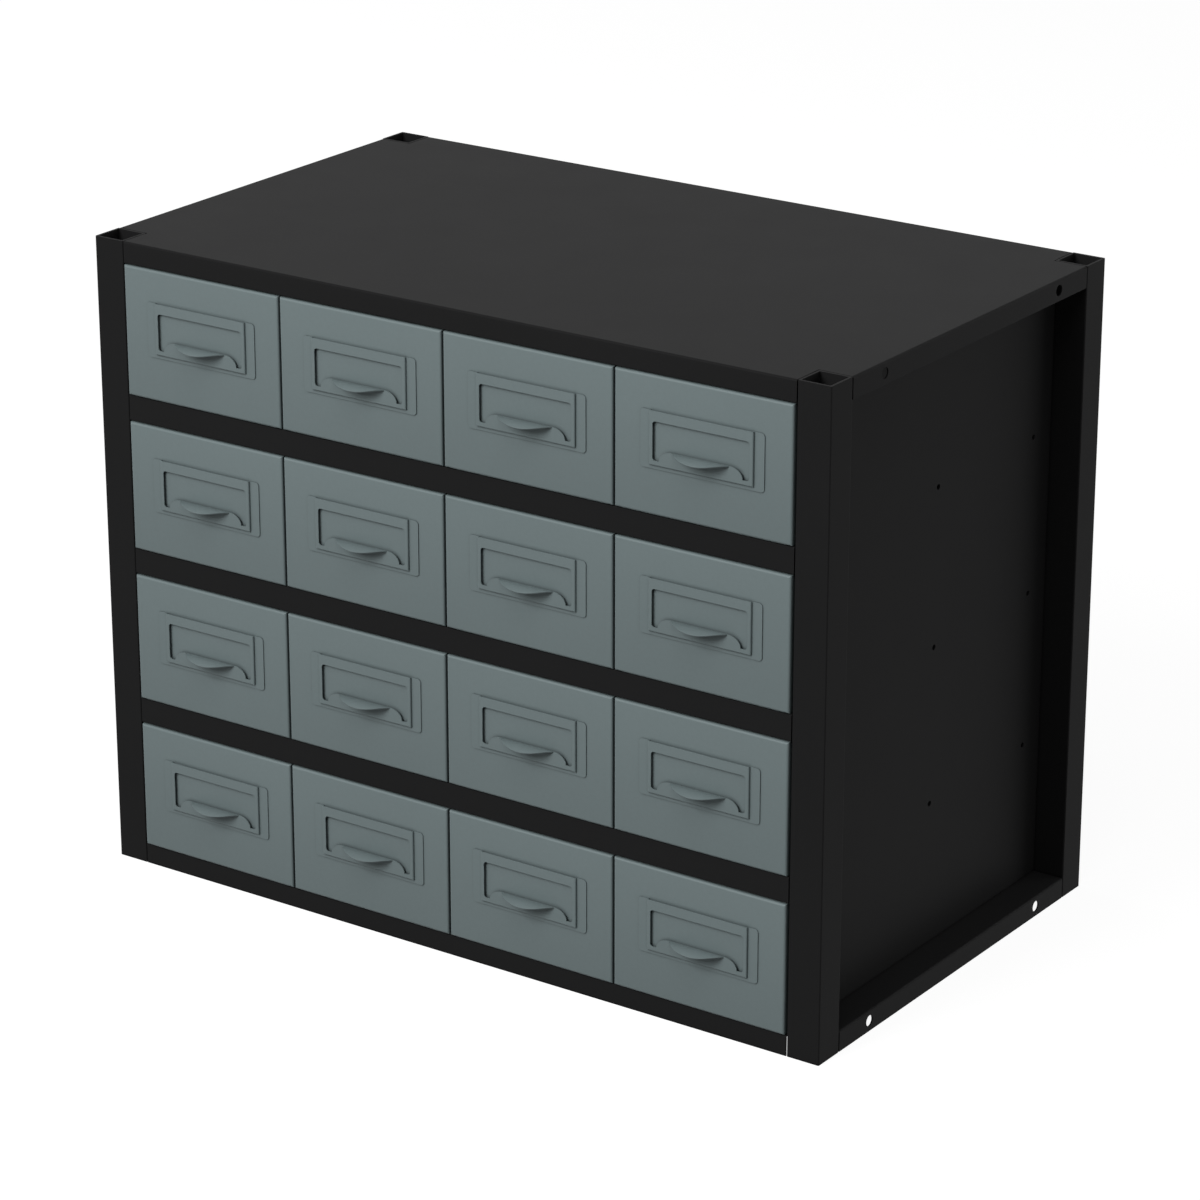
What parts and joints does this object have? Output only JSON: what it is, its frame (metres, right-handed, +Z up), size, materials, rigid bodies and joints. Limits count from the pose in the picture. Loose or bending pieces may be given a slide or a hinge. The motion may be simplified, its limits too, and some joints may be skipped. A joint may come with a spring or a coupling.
{
  "type": "parts bin cabinet",
  "caption": "Stacking steel parts cabinet with rows of pull-out bin drawers, pressed label-holder pulls and open square corner posts.",
  "frame": {"origin": "middle of the footprint, pulls included, on the surface that the cabinet stands on", "axes": "+X to the right of someone who faces the drawers, +Y to the back, +Z up"},
  "size_m": [0.61, 0.371, 0.4745],
  "materials": {
    "case_paint": "satin black powder coat",
    "drawer_paint": "satin grey-green powder coat",
    "pull_paint": "satin grey-green powder coat"
  },
  "bodies": {
    "case": {"post_front_left": "case_paint", "post_front_right": "case_paint", "post_rear_left": "case_paint", "post_rear_right": "case_paint", "top_panel": "case_paint", "bottom_panel": "case_paint", "side_panel_left": "case_paint", "side_panel_right": "case_paint", "back_panel": "case_paint", "shelf_1": "case_paint", "shelf_2": "case_paint", "shelf_3": "case_paint"},
    "bin_r1c1": {"drawer_r1c1": "drawer_paint", "pull_r1c1": "pull_paint"},
    "bin_r1c2": {"drawer_r1c2": "drawer_paint", "pull_r1c2": "pull_paint"},
    "bin_r1c3": {"drawer_r1c3": "drawer_paint", "pull_r1c3": "pull_paint"},
    "bin_r1c4": {"drawer_r1c4": "drawer_paint", "pull_r1c4": "pull_paint"},
    "bin_r2c1": {"drawer_r2c1": "drawer_paint", "pull_r2c1": "pull_paint"},
    "bin_r2c2": {"drawer_r2c2": "drawer_paint", "pull_r2c2": "pull_paint"},
    "bin_r2c3": {"drawer_r2c3": "drawer_paint", "pull_r2c3": "pull_paint"},
    "bin_r2c4": {"drawer_r2c4": "drawer_paint", "pull_r2c4": "pull_paint"},
    "bin_r3c1": {"drawer_r3c1": "drawer_paint", "pull_r3c1": "pull_paint"},
    "bin_r3c2": {"drawer_r3c2": "drawer_paint", "pull_r3c2": "pull_paint"},
    "bin_r3c3": {"drawer_r3c3": "drawer_paint", "pull_r3c3": "pull_paint"},
    "bin_r3c4": {"drawer_r3c4": "drawer_paint", "pull_r3c4": "pull_paint"},
    "bin_r4c1": {"drawer_r4c1": "drawer_paint", "pull_r4c1": "pull_paint"},
    "bin_r4c2": {"drawer_r4c2": "drawer_paint", "pull_r4c2": "pull_paint"},
    "bin_r4c3": {"drawer_r4c3": "drawer_paint", "pull_r4c3": "pull_paint"},
    "bin_r4c4": {"drawer_r4c4": "drawer_paint", "pull_r4c4": "pull_paint"}
  },
  "joints": [
    {"name": "slide_r1c1", "type": "slide", "parent": "case", "child": "bin_r1c1", "axis": [0, -1, 0], "range_m": [0, 0.245]},
    {"name": "slide_r1c2", "type": "slide", "parent": "case", "child": "bin_r1c2", "axis": [0, -1, 0], "range_m": [0, 0.245]},
    {"name": "slide_r1c3", "type": "slide", "parent": "case", "child": "bin_r1c3", "axis": [0, -1, 0], "range_m": [0, 0.245]},
    {"name": "slide_r1c4", "type": "slide", "parent": "case", "child": "bin_r1c4", "axis": [0, -1, 0], "range_m": [0, 0.245]},
    {"name": "slide_r2c1", "type": "slide", "parent": "case", "child": "bin_r2c1", "axis": [0, -1, 0], "range_m": [0, 0.245]},
    {"name": "slide_r2c2", "type": "slide", "parent": "case", "child": "bin_r2c2", "axis": [0, -1, 0], "range_m": [0, 0.245]},
    {"name": "slide_r2c3", "type": "slide", "parent": "case", "child": "bin_r2c3", "axis": [0, -1, 0], "range_m": [0, 0.245]},
    {"name": "slide_r2c4", "type": "slide", "parent": "case", "child": "bin_r2c4", "axis": [0, -1, 0], "range_m": [0, 0.245]},
    {"name": "slide_r3c1", "type": "slide", "parent": "case", "child": "bin_r3c1", "axis": [0, -1, 0], "range_m": [0, 0.245]},
    {"name": "slide_r3c2", "type": "slide", "parent": "case", "child": "bin_r3c2", "axis": [0, -1, 0], "range_m": [0, 0.245]},
    {"name": "slide_r3c3", "type": "slide", "parent": "case", "child": "bin_r3c3", "axis": [0, -1, 0], "range_m": [0, 0.245]},
    {"name": "slide_r3c4", "type": "slide", "parent": "case", "child": "bin_r3c4", "axis": [0, -1, 0], "range_m": [0, 0.245]},
    {"name": "slide_r4c1", "type": "slide", "parent": "case", "child": "bin_r4c1", "axis": [0, -1, 0], "range_m": [0, 0.245]},
    {"name": "slide_r4c2", "type": "slide", "parent": "case", "child": "bin_r4c2", "axis": [0, -1, 0], "range_m": [0, 0.245]},
    {"name": "slide_r4c3", "type": "slide", "parent": "case", "child": "bin_r4c3", "axis": [0, -1, 0], "range_m": [0, 0.245]},
    {"name": "slide_r4c4", "type": "slide", "parent": "case", "child": "bin_r4c4", "axis": [0, -1, 0], "range_m": [0, 0.245]}
  ]
}
